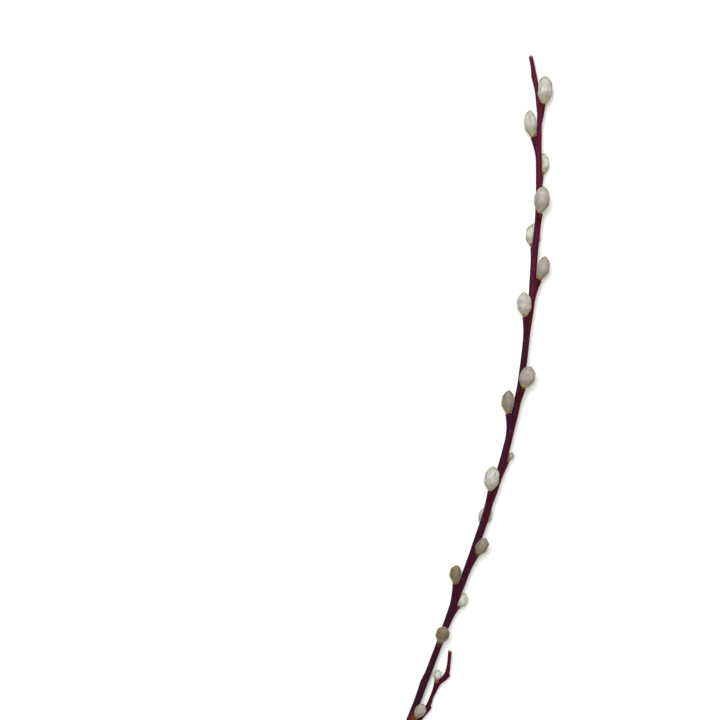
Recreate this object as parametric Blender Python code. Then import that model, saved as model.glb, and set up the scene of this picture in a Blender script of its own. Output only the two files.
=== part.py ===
"""A cut pussy-willow branch with its side shoot and silky catkins, lying on its side.

Metres, +Z up. The branch rests on z = 0. A straight line from its butt to its tip runs along +Y,
and the rod bows toward +X. Azimuths turn around the rod: 0 is its right side, 90 its upper side.
"""
import math
import random
from bisect import bisect_right
from collections import namedtuple

import bmesh
import bpy
from mathutils import Matrix, Vector

MM = 0.001

# Left between pieces that touch. All sizes here are millimetres.
GAP = 0.3
COLLAR_CLEARANCE = 0.36
CATKIN_CLEARANCE = 0.62  # more, because its wide faces cut across the curve of the rod

# Rod: pairs of a distance from the butt and the value there
ROD_LENGTH = 600
ROD_RADIUS = [(0, 3.1), (110, 2.6), (145, 2.32), (190, 2.37), (230, 2.5), (260, 2.65), (320, 2.6), (380, 2.4),
              (450, 2.35), (480, 2.25), (530, 2.05), (560, 1.7), (600, 1.5)]
ROD_LEAN = [(0, 20.7), (200, 20.7), (260, 19.4), (320, 14.7), (380, 8.9), (440, 4.9), (520, 1.2),
            (560, -3.5), (600, -12.9)]  # degrees to the right of the plant's upright
ROD_HEIGHT = [(0, 2.95), (265, 10.6), (464, 11.2), (520, 10.5), (600, 9.0)]  # of the axis over the surface
# Small steps of the axis to the right, toward each catkin below it and back above it
ROD_ASIDE = [(0, 0), (100, 0), (123, -0.2), (145, -0.05), (165, -0.1), (179, -0.1), (195, -0.4), (204.5, -0.65),
             (214, -0.7), (222, -0.3), (235, -0.35), (245, -0.4), (255, -0.6), (265, -0.6), (275, -0.76),
             (283, -1.1), (291, -0.7), (300, -0.5), (313, -0.37), (326, -0.42), (339, -0.42), (347, -0.12),
             (359, -0.13), (368, -0.07), (378, -0.29), (388, -0.48), (398, -0.76), (407, -0.95), (417, -0.53),
             (425, -0.22), (433, -0.3), (442, -0.65), (450, -0.79), (458, -0.79), (464, -0.61), (475, -0.17),
             (482, 0.12), (500, 0), (518, -0.4), (527, -0.67), (535, -0.73), (541.5, -0.5), (553, 0), (558, 0.5),
             (565, 0.28), (575, 0.27), (590, 0), (600, 0)]

# Side shoot: the same pairs, with distances from the rod's axis
SHOOT_STATION = 110
SHOOT_LENGTH = 68
SHOOT_RADIUS = [(0, 2.1), (8, 1.7), (16, 1.3), (50, 1.22), (68, 1.3)]
SHOOT_LEAN = [(0, 44), (12, 46), (16, 36), (22, 30), (28, 24), (35, 26), (41, 21), (47, 41), (53, 17),
              (59, 8), (68, 2)]
SHOOT_HEIGHT = [(0, 5.9), (14, 4.9), (40, 5.2), (67, 7.0)]
SHOOT_ASIDE = [(0, 0), (29, 0), (43, 0.4), (54, 1.1), (68, 1.2)]

# Cut ends: slant of each, and azimuth of the side on which it lies further along
BUTT_CUT = (38, 90)
TIP_CUT = (34, 270)
SHOOT_CUT = (25, 250)
CUT_CHAMFER = 0.25
SURFACE_DEPTH = 10  # of the block that presses the lowest places flat

# Leaf cushion: a ledge that swells out below each catkin or bud
LEDGE_REACH = 17
LEDGE_TOP = 1.8
LEDGE_ROUNDNESS = 3  # power of the cosine that narrows it around the rod
BUD_LENGTH = 6.5
BUD_ROUNDNESS = 9

# Collar: the short stalk with bud-scale remains between cushion and catkin
COLLAR_HEIGHT = 2.4
COLLAR_RADIUS = 1.65
COLLAR_SIDES = 10
SEAT_PLACE = 0.53  # how far out on the cushion's sloping top the collar's middle stands

# Catkin: pairs of the way along it and its half width, as parts of the widest
CATKIN_SHAPE = [(0, 0.5), (0.1, 0.74), (0.24, 0.94), (0.4, 1.0), (0.58, 0.96), (0.76, 0.81), (0.89, 0.6),
                (0.97, 0.34), (1, 0.14)]
CATKIN_RINGS = 15
CATKIN_LAST_RING = 0.975  # how far along it the last ring lies, before the point
CATKIN_SIDES = 16
CATKIN_INNER = 0.72  # thickness on the side that lies on the rod, as part of the half width
TUFT_OUT = 0.4
TUFT_FORWARD = 0.6
TUFT_UNEVEN = 0.3

# Mesh of the woody pieces
WOODY_SIDES = 12
RING_SPACING = 12
LEDGE_RINGS = (15, 10, 6, 3.2, 1.2, 0)  # below the ledge's corner
BUD_RINGS = (0.5, 0.75, 0.92)  # parts of the bud's length

Catkin = namedtuple("Catkin", "station azimuth length width lean ledge")
Bud = namedtuple("Bud", "station azimuth ledge height")

# Catkins on the rod, from butt to tip: distance from the butt, azimuth, length, width, lean off the rod
# and height of the cushion that carries it
ROD_CATKINS = [
    Catkin(122.5, 40, 12.7, 9.0, 10, 2.4),
    Catkin(178.2, 97, 13.5, 9.8, 14, 2.4),
    Catkin(204.5, 335, 13.0, 9.2, 8, 2.4),
    Catkin(220.5, 160, 14.2, 9.4, 19, 4.1),
    Catkin(244.8, 45, 14.5, 9.0, 10, 2.6),
    Catkin(264.9, 270, 15.0, 9.8, 12, 2.8),
    Catkin(290.7, 130, 18.5, 11.0, 19, 3.0),
    Catkin(313.3, 325, 8.0, 5.5, 16, 2.6),
    Catkin(346.0, 168, 17.2, 9.9, 11, 4.3),
    Catkin(365.7, 60, 17.0, 11.0, 13, 3.2),
    Catkin(415.3, 137, 18.0, 10.6, 17, 3.8),
    Catkin(441.9, 10, 17.5, 10.2, 11, 4.1),
    Catkin(464.4, 252, 18.0, 11.0, 11, 3.2),
    Catkin(488.4, 76, 19.4, 11.2, 14, 3.3),
    Catkin(514.9, 300, 17.5, 9.5, 12, 3.0),
    Catkin(541.5, 175, 19.8, 10.2, 9, 4.2),
    Catkin(564.6, 20, 20.5, 12.0, 9, 3.5),
]
# Bare buds on the rod: distance, azimuth, height of the cushion and of the bud lying on the rod
ROD_BUDS = [
    Bud(34, 97, 0.8, 0.5),
    Bud(66, 313, 0.8, 0.6),
    Bud(97, 169, 0.9, 0.7),
    Bud(149.2, 175, 0.9, 0.6),
    Bud(391.9, 276, 1.5, 1.0),
    Bud(586.5, 170, 1.2, 0.6),
]
SHOOT_CATKINS = [Catkin(42.5, 145, 9.8, 6.8, 20, 2.3)]
SHOOT_BUDS = [Bud(25.4, 5, 2.1, 0.9), Bud(51.5, 0, 2.1, 0.8)]


def smooth(pairs, at):
    """The value at a distance, on a smooth curve through the pairs."""
    last = len(pairs) - 1
    i = min(max(bisect_right([p[0] for p in pairs], at) - 1, 0), last - 1)

    def slope(k):
        low, high = max(k - 1, 0), min(k + 1, last)
        return (pairs[high][1] - pairs[low][1]) / (pairs[high][0] - pairs[low][0])

    (x0, y0), (x1, y1) = pairs[i], pairs[i + 1]
    width = x1 - x0
    t = (at - x0) / width
    if t < 0 or t > 1:
        end = 0 if t < 0 else last
        return pairs[end][1] + slope(end) * (at - pairs[end][0])
    a = (1 + 2 * t) * (1 - t) ** 2 * y0 + t * t * (3 - 2 * t) * y1
    return a + width * (t * (1 - t) ** 2 * slope(i) - t * t * (1 - t) * slope(i + 1))


class Woody:
    """A rod or shoot: its course, its thickness and the cushions and buds on it. Millimetres."""

    def __init__(self, start, length, lean, height, aside, radius, catkins, buds, turn):
        self.length = length
        self.aside = aside
        self.radius = radius
        self.cushions = [(c.station, c.azimuth, c.ledge, 0) for c in catkins]
        self.cushions += [(b.station, b.azimuth, b.ledge, b.height) for b in buds]
        self.cushions.sort()
        self.path = self.walk(start, lean, height, turn)
        self.catkins = catkins

    def walk(self, start, lean, height, turn):
        """Points 1 mm apart along the axis, each way past the ends too."""
        points = {}
        for step in (1, -1):
            x, y = start
            for i in range(0, (self.length if step > 0 else 0) + 12):
                s = i * step
                points[s] = Vector((x, y, smooth(height, s)))
                angle = math.radians(smooth(lean, s + 0.5 * step) - turn)
                x += step * math.sin(angle)
                y += step * math.cos(angle)
        return points

    def axis(self, s):
        low = math.floor(s)
        part = s - low
        point = self.path[low] * (1 - part) + self.path[low + 1] * part
        return point + Vector((smooth(self.aside, s), 0, 0))

    def directions(self, s):
        """The way along the axis, to its right and up from it."""
        along = (self.axis(s + 1.5) - self.axis(s - 1.5)).normalized()
        right = along.cross(Vector((0, 0, 1))).normalized()
        return along, right, right.cross(along)

    def outward(self, s, azimuth):
        _, right, up = self.directions(s)
        angle = math.radians(azimuth)
        return right * math.cos(angle) + up * math.sin(angle)

    def bark(self, s, azimuth):
        """Distance from the axis to the bark."""
        size = smooth(self.radius, s)
        for station, direction, ledge, bud in self.cushions:
            above = s - station
            if not -LEDGE_REACH < above < BUD_LENGTH:
                continue
            facing = max(0.0, math.cos(math.radians(azimuth - direction)))
            if above <= 0:
                size += ledge * (1 + above / LEDGE_REACH) ** 2 * facing ** LEDGE_ROUNDNESS
                continue
            top = ledge * max(0.0, 1 - above / LEDGE_TOP) * facing ** LEDGE_ROUNDNESS
            x = above / BUD_LENGTH
            size += max(top, bud * 2.2 * math.sqrt(x) * (1 - x) * facing ** BUD_ROUNDNESS)
        return size

    def stations(self):
        """Where rings of the mesh go: evenly spaced, and closer at each cushion."""
        marks = [i * RING_SPACING for i in range(1, int(self.length / RING_SPACING))]
        fixed = []
        for station, _, _, bud in self.cushions:
            fixed += [station - d for d in LEDGE_RINGS]
            fixed += [station + LEDGE_TOP * 0.5, station + LEDGE_TOP]
            if bud:
                fixed += [station + BUD_LENGTH * x for x in BUD_RINGS]
        # A ring of a cushion takes the place of an even one next to it
        marks = [m for m in marks if all(abs(m - f) > 4 for f in fixed)]
        kept = []
        for s in sorted(marks + fixed):
            inside = 6 < s < self.length - 2.5
            if inside and (not kept or s - kept[-1] > 0.6):
                kept.append(s)
        return kept

    def phase(self, s):
        """Turn of a ring's first corner, so that a corner faces each cushion's middle."""
        step = 360 / WOODY_SIDES
        turned = [(-20, 0)]
        for station, direction, _, _ in self.cushions:
            before = turned[-1][1]
            turned.append((station, before + (direction - before + step / 2) % step - step / 2))
        turned.append((self.length + 20, turned[-1][1]))
        i = min(bisect_right([t[0] for t in turned], s) - 1, len(turned) - 2)
        (s0, a0), (s1, a1) = turned[i], turned[i + 1]
        return a0 + (a1 - a0) * (s - s0) / (s1 - s0)

    def ring(self, s, cut=(0, 0), inset=0):
        """One ring of points; a cut slides each along the axis by its slant."""
        slant, further = cut
        points = []
        for k in range(WOODY_SIDES):
            azimuth = self.phase(s) + 360 * k / WOODY_SIDES
            size = self.bark(s, azimuth) - inset
            slide = size * math.tan(math.radians(slant))
            at = s + slide * math.cos(math.radians(azimuth - further))
            points.append(self.axis(at) + self.outward(at, azimuth) * size)
        return points


def mesh_object(name, bm, material):
    """A named object from a mesh in millimetres."""
    bmesh.ops.recalc_face_normals(bm, faces=bm.faces)
    bmesh.ops.scale(bm, vec=(MM, MM, MM), verts=bm.verts)
    mesh = bpy.data.meshes.new(name)
    bm.to_mesh(mesh)
    bm.free()
    mesh.materials.append(material)
    mesh.shade_smooth()
    mesh.set_sharp_from_angle(angle=math.radians(50))
    obj = bpy.data.objects.new(name, mesh)
    bpy.context.scene.collection.objects.link(obj)
    return obj


def skin(bm, rings, ends=(None, None)):
    """Faces between rings of points, closed at both ends by a point or a flat face."""
    loops = [[bm.verts.new(p) for p in ring] for ring in rings]
    for low, high in zip(loops, loops[1:]):
        for k in range(len(low)):
            n = (k + 1) % len(low)
            bm.faces.new((low[k], low[n], high[n], high[k]))
    for loop, point in zip((loops[0], loops[-1]), ends):
        if point is None:
            bm.faces.new(loop)
            continue
        peak = bm.verts.new(point)
        for k in range(len(loop)):
            bm.faces.new((loop[k], loop[(k + 1) % len(loop)], peak))


def join_or_cut(obj, operation, other):
    modifier = obj.modifiers.new(operation.lower(), "BOOLEAN")
    modifier.operation = operation
    modifier.object = other


def helper_form(obj):
    """Marks a form that only shapes others and is no piece itself."""
    obj.hide_render = True
    obj.display_type = "WIRE"
    return obj


def surface_form(material):
    """A block whose top is the surface, which presses flat what would reach into it."""
    bm = bmesh.new()
    bmesh.ops.create_cube(bm, size=1)
    bmesh.ops.scale(bm, vec=(300, 2 * ROD_LENGTH, SURFACE_DEPTH), verts=bm.verts)
    bmesh.ops.translate(bm, vec=(0, 0, -SURFACE_DEPTH / 2), verts=bm.verts)
    return helper_form(mesh_object("surface_form", bm, material))


def lie_on_surface(pieces, surface):
    """Flattens each piece that the branch's weight presses on the surface."""
    for piece in pieces:
        if min(vertex.co.z for vertex in piece.data.vertices) < 0:
            join_or_cut(piece, "DIFFERENCE", surface)


def plain_material(name, colour, roughness):
    material = bpy.data.materials.new(name)
    material.use_nodes = True
    shader = material.node_tree.nodes["Principled BSDF"]
    shader.inputs["Base Color"].default_value = (*colour, 1)
    shader.inputs["Roughness"].default_value = roughness
    shader.inputs["Metallic"].default_value = 0
    return material


def bark_material():
    return plain_material("willow_bark", (0.055, 0.012, 0.022), 0.42)


def scale_material():
    return plain_material("bud_scale", (0.16, 0.11, 0.035), 0.55)


def silk_material():
    return plain_material("catkin_silk", (0.55, 0.53, 0.47), 0.8)


def make_rod():
    """The rod, standing at its butt with its chord along +Y."""
    turn = chord_lean()
    return Woody((0, 0), ROD_LENGTH, ROD_LEAN, ROD_HEIGHT, ROD_ASIDE, ROD_RADIUS, ROD_CATKINS, ROD_BUDS, turn)


def chord_lean():
    """Lean of the straight line from butt to tip."""
    angles = [math.radians(smooth(ROD_LEAN, s + 0.5)) for s in range(ROD_LENGTH)]
    return math.degrees(math.atan2(sum(map(math.sin, angles)), sum(map(math.cos, angles))))


def make_shoot(rod):
    """The side shoot, leaving the rod's axis on its right."""
    start = rod.axis(SHOOT_STATION)
    return Woody((start.x, start.y), SHOOT_LENGTH, SHOOT_LEAN, SHOOT_HEIGHT, SHOOT_ASIDE, SHOOT_RADIUS,
                 SHOOT_CATKINS, SHOOT_BUDS, chord_lean())


def rod_mesh(rod):
    bm = bmesh.new()
    start = ROD_RADIUS[0][1] * math.tan(math.radians(BUTT_CUT[0])) + CUT_CHAMFER
    rings = [rod.ring(start, BUTT_CUT, CUT_CHAMFER), rod.ring(start + CUT_CHAMFER, BUTT_CUT)]
    rings += [rod.ring(s) for s in rod.stations()]
    rings += [rod.ring(rod.length - CUT_CHAMFER, TIP_CUT), rod.ring(rod.length, TIP_CUT, CUT_CHAMFER)]
    skin(bm, rings)
    return bm


def shoot_mesh(shoot):
    bm = bmesh.new()
    rings = [shoot.ring(0)] + [shoot.ring(s) for s in shoot.stations()]
    rings += [shoot.ring(shoot.length - CUT_CHAMFER, SHOOT_CUT), shoot.ring(shoot.length, SHOOT_CUT, CUT_CHAMFER)]
    skin(bm, rings)
    return bm


def build_stem(rod, shoot, material):
    """Rod and side shoot grown together."""
    stem = mesh_object("stem", rod_mesh(rod), material)
    join_or_cut(stem, "UNION", helper_form(mesh_object("shoot_form", shoot_mesh(shoot), material)))
    return stem


class Seat:
    """Where one catkin sits: its cushion's sloping top, and the catkin's own axis. Millimetres."""

    def __init__(self, wood, catkin):
        self.wood = wood
        self.catkin = catkin
        station, azimuth = catkin.station, catkin.azimuth
        along, _, _ = wood.directions(station)
        out = wood.outward(station, azimuth)
        self.side = along.cross(out)
        corner = wood.axis(station) + out * wood.bark(station, azimuth)
        above = station + LEDGE_TOP
        inner = wood.axis(above) + wood.outward(above, azimuth) * wood.bark(above, azimuth)
        self.slope = (corner - inner).normalized()
        self.up = self.side.cross(self.slope)
        if self.up.dot(along) < 0:
            self.up = -self.up
        self.reach = (corner - inner).length * (1 - SEAT_PLACE)
        self.foot = inner + (corner - inner) * SEAT_PLACE + self.up * GAP
        lean = math.radians(catkin.lean)
        self.axis = along * math.cos(lean) + out * math.sin(lean)
        self.out = out * math.cos(lean) - along * math.sin(lean)
        self.base = self.foot + self.axis * (COLLAR_HEIGHT + GAP)
        self.length = catkin.length - COLLAR_HEIGHT - 2 * GAP

    def clear(self, point, direction, gap):
        """Slides a point outward until it clears the bark by the gap."""
        wood = self.wood
        station = self.catkin.station
        for _ in range(5):
            for _ in range(3):
                along, right, up = wood.directions(station)
                station += (point - wood.axis(station)).dot(along)
            away = point - wood.axis(station)
            azimuth = math.degrees(math.atan2(away.dot(up), away.dot(right)))
            # The highest bark just below and above counts too, because a ledge has a sharp corner
            needed = gap + max(wood.bark(station + d, azimuth) for d in (-0.3, 0, 0.3))
            across = away.dot(self.side)
            if abs(across) >= needed:
                break
            facing = self.side.cross(along)
            if facing.dot(direction) < 0:
                facing = -facing
            short = math.sqrt(needed ** 2 - across ** 2) - away.dot(facing)
            if short <= 0.001:
                break
            point = point + direction * short / direction.dot(facing)
        return point


def collar_mesh(seat):
    """A cup whose foot follows the cushion's top and whose rim carries the catkin."""
    rim = CATKIN_SHAPE[0][1] * 0.5 * seat.catkin.width * 0.94
    foot_size = min(COLLAR_RADIUS, rim)
    levels = [(0, foot_size, min(seat.reach, foot_size)), (0.45, foot_size * 1.16, foot_size * 1.12),
              (1, rim, rim)]
    rings = []
    for part, wide, deep in levels:
        centre = seat.foot + seat.axis * COLLAR_HEIGHT * part
        direction = seat.slope.lerp(seat.out, min(1, part * 2)).normalized()
        ring = []
        for k in range(COLLAR_SIDES):
            angle = 2 * math.pi * k / COLLAR_SIDES
            point = centre + seat.side * math.cos(angle) * wide + direction * math.sin(angle) * deep
            ring.append(seat.clear(point, direction, COLLAR_CLEARANCE))
        rings.append(ring)
    bm = bmesh.new()
    skin(bm, rings)
    return bm


def catkin_mesh(seat, seed):
    """A silky head: an egg with a blunt point, in tufts that point to its tip."""
    chance = random.Random(seed)
    half = seat.catkin.width / 2
    rings = []
    for i in range(CATKIN_RINGS):
        part = CATKIN_LAST_RING * i / (CATKIN_RINGS - 1)
        ring = []
        for k in range(CATKIN_SIDES):
            angle = 2 * math.pi * (k + 0.5 * (i % 2)) / CATKIN_SIDES
            size = half * smooth(CATKIN_SHAPE, part)
            tuft = 1 if (k + i // 2) % 2 == 0 and 0 < i < CATKIN_RINGS - 1 else 0
            rise = tuft * TUFT_OUT * smooth(CATKIN_SHAPE, part) * (1 - TUFT_UNEVEN * chance.random())
            wide = (size + rise) * math.cos(angle)
            deep = (size + rise) * math.sin(angle)
            if deep < 0:
                deep *= CATKIN_INNER
            centre = seat.base + seat.axis * (seat.length * part + tuft * TUFT_FORWARD)
            point = centre + seat.side * wide + seat.out * deep
            ring.append(seat.clear(point, seat.out, CATKIN_CLEARANCE))
        rings.append(ring)
    bm = bmesh.new()
    middle = sum(rings[-1], Vector()) / CATKIN_SIDES
    skin(bm, rings, (None, middle + seat.axis * seat.length * (1 - CATKIN_LAST_RING)))
    return bm


def build_catkins(woods, scale, silk):
    """A collar and a silky head on each cushion that carries a catkin."""
    made = []
    number = 1
    for wood in woods:
        for catkin in wood.catkins:
            seat = Seat(wood, catkin)
            made.append(mesh_object(f"collar_{number:02d}", collar_mesh(seat), scale))
            made.append(mesh_object(f"catkin_{number:02d}", catkin_mesh(seat, number), silk))
            number += 1
    return made


def centre_on_origin(pieces):
    """Puts the origin under the middle of the whole branch."""
    spots = [vertex.co for piece in pieces for vertex in piece.data.vertices]
    x = (min(s.x for s in spots) + max(s.x for s in spots)) / 2
    y = (min(s.y for s in spots) + max(s.y for s in spots)) / 2
    for obj in bpy.data.objects:
        obj.data.transform(Matrix.Translation((-x, -y, 0)))


def main():
    for obj in list(bpy.data.objects):
        bpy.data.objects.remove(obj)
    rod = make_rod()
    shoot = make_shoot(rod)
    bark = bark_material()
    pieces = [build_stem(rod, shoot, bark)]
    pieces += build_catkins((rod, shoot), scale_material(), silk_material())
    centre_on_origin(pieces)
    lie_on_surface(pieces, surface_form(bark))


main()
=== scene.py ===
# A cut pussy-willow branch that lies on a pale floor, seen from straight above.
# Lengths in the tables are millimetres and angles are degrees. Azimuths turn around a stem:
# 0 is its right side and 90 its upper side.
import math
import random
from bisect import bisect_right

import bpy
import numpy as np
from mathutils import Matrix, Vector, noise


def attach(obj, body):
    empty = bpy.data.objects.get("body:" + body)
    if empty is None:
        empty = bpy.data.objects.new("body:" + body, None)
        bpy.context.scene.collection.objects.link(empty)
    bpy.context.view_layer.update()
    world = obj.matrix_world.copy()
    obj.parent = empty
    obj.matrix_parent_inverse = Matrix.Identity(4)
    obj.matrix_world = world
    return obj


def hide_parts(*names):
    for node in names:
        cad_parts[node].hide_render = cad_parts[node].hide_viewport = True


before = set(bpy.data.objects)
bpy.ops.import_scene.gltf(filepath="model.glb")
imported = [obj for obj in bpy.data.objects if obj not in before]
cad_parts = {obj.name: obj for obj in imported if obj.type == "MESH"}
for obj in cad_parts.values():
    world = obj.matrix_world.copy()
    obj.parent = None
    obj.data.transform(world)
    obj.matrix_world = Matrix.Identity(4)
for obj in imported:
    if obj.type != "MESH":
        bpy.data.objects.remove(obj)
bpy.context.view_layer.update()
mm = 0.001


def linearColour(hexText):
    # sRGB hex to the linear values that shaders take
    channels = [int(hexText[i:i + 2], 16) / 255 for i in (1, 3, 5)]
    return [c / 12.92 if c <= 0.04045 else ((c + 0.055) / 1.055) ** 2.4 for c in channels] + [1.0]


def addNode(tree, kind, links=None, **settings):
    # One node with its options; each input is linked, or given a value, by its name or number
    node = tree.nodes.new(kind)
    for option, value in settings.items():
        setattr(node, option, value)
    for socket, value in (links or {}).items():
        for source in value if isinstance(value, list) and isinstance(value[0], bpy.types.NodeSocket) else [value]:
            if isinstance(source, bpy.types.NodeSocket):
                tree.links.new(source, node.inputs[socket])
            else:
                node.inputs[socket].default_value = source
    return node


def emptyMaterial(name):
    material = bpy.data.materials.new(name)
    material.use_nodes = True
    material.node_tree.nodes.clear()
    return material


def smoothStep(low, high, value):
    t = min(1.0, max(0.0, (value - low) / (high - low)))
    return t * t * (3 - 2 * t)


def curveValue(pairs, at):
    # The value at a distance, on a smooth curve through the pairs
    last = len(pairs) - 1
    i = min(max(bisect_right([p[0] for p in pairs], at) - 1, 0), last - 1)

    def slope(k):
        low, high = max(k - 1, 0), min(k + 1, last)
        return (pairs[high][1] - pairs[low][1]) / (pairs[high][0] - pairs[low][0])

    (x0, y0), (x1, y1) = pairs[i], pairs[i + 1]
    width = x1 - x0
    t = (at - x0) / width
    if t < 0 or t > 1:
        end = 0 if t < 0 else last
        return pairs[end][1] + slope(end) * (at - pairs[end][0])
    a = (1 + 2 * t) * (1 - t) ** 2 * y0 + t * t * (3 - 2 * t) * y1
    return a + width * (t * (1 - t) ** 2 * slope(i) - t * t * (1 - t) * slope(i + 1))


# The branch's course, as pairs of a distance along a stem and the value there
rodForm = {
    "start": (-24.238, -296.729),
    "length": 600,
    "radius": [(0, 3.1), (110, 2.6), (145, 2.32), (190, 2.37), (230, 2.5), (260, 2.65), (320, 2.6), (380, 2.4),
               (450, 2.35), (480, 2.25), (530, 2.05), (560, 1.7), (600, 1.5)],
    "lean": [(0, 20.7), (200, 20.7), (260, 19.4), (320, 14.7), (380, 8.9), (440, 4.9), (520, 1.2),
             (560, -3.5), (600, -12.9)],
    "height": [(0, 2.95), (265, 10.6), (464, 11.2), (520, 10.5), (600, 9.0)],
    # Small steps to the right, toward each catkin below it and back above it
    "aside": [(0, 0), (100, 0), (123, -0.2), (145, -0.05), (165, -0.1), (179, -0.1), (195, -0.4), (204.5, -0.65),
              (214, -0.7), (222, -0.3), (235, -0.35), (245, -0.4), (255, -0.6), (265, -0.6), (275, -0.76),
              (283, -1.1), (291, -0.7), (300, -0.5), (313, -0.37), (326, -0.42), (339, -0.42), (347, -0.12),
              (359, -0.13), (368, -0.07), (378, -0.29), (388, -0.48), (398, -0.76), (407, -0.95), (417, -0.53),
              (425, -0.22), (433, -0.3), (442, -0.65), (450, -0.79), (458, -0.79), (464, -0.61), (475, -0.17),
              (482, 0.12), (500, 0), (518, -0.4), (527, -0.67), (535, -0.73), (541.5, -0.5), (553, 0), (558, 0.5),
              (565, 0.28), (575, 0.27), (590, 0), (600, 0)],
    # Each catkin: station, azimuth, length, width, lean off the stem, height of its cushion
    "catkins": [
        (122.5, 40, 12.7, 8.2, 10, 2.4), (178.2, 97, 13.5, 9.8, 14, 2.4), (204.5, 335, 13.0, 9.2, 8, 2.4),
        (220.5, 160, 14.2, 9.4, 19, 4.1), (244.8, 45, 14.5, 9.0, 10, 2.6), (264.9, 270, 15.0, 9.8, 12, 2.8),
        (290.7, 130, 18.5, 11.0, 19, 3.0), (313.3, 325, 8.0, 5.5, 16, 2.6), (346.0, 168, 17.2, 9.9, 11, 4.3),
        (365.7, 60, 17.0, 11.0, 13, 3.2), (415.3, 137, 18.0, 10.6, 17, 3.8), (441.9, 10, 17.5, 10.2, 11, 4.1),
        (464.4, 252, 18.0, 11.0, 11, 3.2), (488.4, 76, 19.4, 11.2, 14, 3.3), (514.9, 300, 17.5, 9.5, 12, 3.0),
        (541.5, 175, 19.8, 10.2, 9, 4.2), (564.6, 20, 20.5, 12.0, 9, 3.5),
    ],
    # Each bare bud: station, azimuth, height of its cushion, height of the bud
    "buds": [(34, 97, 0.8, 0.5), (66, 313, 0.8, 0.6), (97, 169, 0.9, 0.7), (149.2, 175, 0.9, 0.6),
             (391.9, 276, 1.5, 1.0), (586.5, 170, 1.2, 0.6)],
    "startCut": (38, 90),  # slant, and the side on which the cut lies further along
    "endCut": (34, 270),
}
shootForm = {
    "station": 110,  # where it leaves the rod
    "length": 68,
    "radius": [(0, 2.1), (8, 1.7), (16, 1.3), (50, 1.22), (68, 1.3)],
    "lean": [(0, 44), (12, 46), (16, 36), (22, 30), (28, 24), (35, 26), (41, 21), (47, 41), (53, 17),
             (59, 8), (68, 2)],
    "height": [(0, 5.9), (14, 4.9), (40, 5.2), (67, 7.0)],
    "aside": [(0, 0), (29, 0), (43, 0.4), (54, 1.1), (68, 1.2)],
    "catkins": [(42.5, 145, 9.8, 6.8, 20, 2.3)],
    "buds": [(25.4, 5, 2.1, 0.9), (51.5, 0, 2.1, 0.8)],
    "endCut": (25, 250),
}
cushionForm = {
    "reach": 17,  # how far the swelling runs down the stem
    "top": 1.8,
    "roundness": 3,
    "budLength": 6.5,
    "budRoundness": 9,
}


class Wood:
    # One stem: its course, its thickness, and the cushions and buds on it, in millimetres

    def __init__(self, form, start, turn):
        self.form = form
        self.length = form["length"]
        self.cushions = sorted([(c[0], c[1], c[5], 0) for c in form["catkins"]] + form["buds"])
        self.frames = {}
        self.path = {}
        for step in (1, -1):
            x, y = start
            for i in range(0, (self.length if step > 0 else 0) + 12):
                s = i * step
                self.path[s] = Vector((x, y, curveValue(form["height"], s)))
                angle = math.radians(curveValue(form["lean"], s + 0.5 * step) - turn)
                x += step * math.sin(angle)
                y += step * math.cos(angle)

    def axis(self, s):
        low = math.floor(s)
        point = self.path[low].lerp(self.path[low + 1], s - low)
        point.x += curveValue(self.form["aside"], s)
        return point

    def directions(self, s):
        # The way along the axis, to its right and up from it, kept for each quarter of a millimetre
        key = round(s * 4)
        if key not in self.frames:
            along = (self.axis(key / 4 + 1.5) - self.axis(key / 4 - 1.5)).normalized()
            right = along.cross(Vector((0, 0, 1))).normalized()
            self.frames[key] = (along, right, right.cross(along))
        return self.frames[key]

    def outward(self, s, azimuth):
        _, right, up = self.directions(s)
        angle = math.radians(azimuth)
        return right * math.cos(angle) + up * math.sin(angle)

    def bark(self, s, azimuth):
        # Distance from the axis to the bark
        size = curveValue(self.form["radius"], s)
        for station, direction, ledge, bud in self.cushions:
            above = s - station
            if not -cushionForm["reach"] < above < cushionForm["budLength"]:
                continue
            facing = max(0.0, math.cos(math.radians(azimuth - direction)))
            if above <= 0:
                size += ledge * (1 + above / cushionForm["reach"]) ** 2 * facing ** cushionForm["roundness"]
                continue
            top = ledge * max(0.0, 1 - above / cushionForm["top"]) * facing ** cushionForm["roundness"]
            x = above / cushionForm["budLength"]
            size += max(top, bud * 2.2 * math.sqrt(x) * (1 - x) * facing ** cushionForm["budRoundness"])
        return size


leans = [math.radians(curveValue(rodForm["lean"], s + 0.5)) for s in range(rodForm["length"])]
turn = math.degrees(math.atan2(sum(map(math.sin, leans)), sum(map(math.cos, leans))))
rod = Wood(rodForm, rodForm["start"], turn)
fork = rod.axis(shootForm["station"])
shoot = Wood(shootForm, (fork.x, fork.y), turn)
print("course: rod and side shoot laid out")


cameraView = {
    "perPixel": 0.70,  # millimetres of the branch to a pixel of the photo's 720
    "tipAt": (530.8, 56),  # pixel of the rod's tip
    "lens": 100,
    "sensor": 36,
}


def placeCamera():
    # Straight above, turned so that the branch leans as it does in the photo
    angle = math.radians(turn)
    right = Vector((math.cos(angle), math.sin(angle), 0))
    up = Vector((-math.sin(angle), math.cos(angle), 0))
    tip = rod.axis(rod.length) * mm
    pixel = cameraView["perPixel"] * mm
    centre = Vector((tip.x, tip.y, 0)) - right * pixel * (cameraView["tipAt"][0] - 360) \
        - up * pixel * (360 - cameraView["tipAt"][1])
    data = bpy.data.cameras.new("camera")
    data.lens = cameraView["lens"]
    data.sensor_width = cameraView["sensor"]
    data.clip_start = 0.01
    camera = bpy.data.objects.new("camera", data)
    height = 720 * pixel * data.lens / data.sensor_width + 0.010  # the rod's axis is about 10 mm up
    camera.matrix_world = Matrix((right, up, Vector((0, 0, 1)))).transposed().to_4x4()
    camera.location = centre + Vector((0, 0, height))
    bpy.context.scene.collection.objects.link(camera)
    bpy.context.scene.camera = camera
    return centre


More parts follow.
